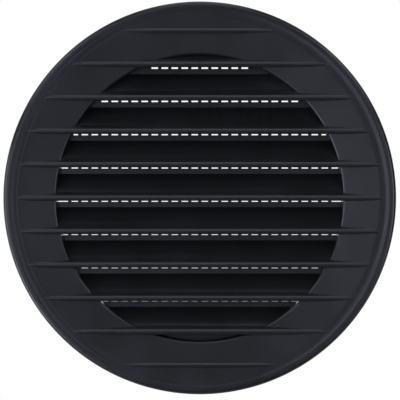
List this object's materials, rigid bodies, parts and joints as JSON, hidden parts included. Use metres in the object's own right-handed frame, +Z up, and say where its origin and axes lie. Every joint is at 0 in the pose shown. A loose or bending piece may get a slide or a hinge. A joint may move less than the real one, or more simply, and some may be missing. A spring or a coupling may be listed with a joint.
{
  "type": "round vent grille",
  "caption": "Round louvred vent grille moulded in one piece: sloping slats with a comb against insects, a rimmed face plate and a ribbed collar that pushes into a duct",
  "frame": {"origin": "centre of the plane that lies on the wall, on the axis of the collar", "axes": "+Y into the wall along the collar, +Z up across the slats, X level along the slats; the face looks along -Y"},
  "size_m": [0.13, 0.019, 0.13],
  "materials": {
    "black_plastic": "satin, through-coloured moulding with softly glossy edges"
  },
  "bodies": {
    "root": {"vent_grille": "black_plastic"}
  },
  "joints": []
}
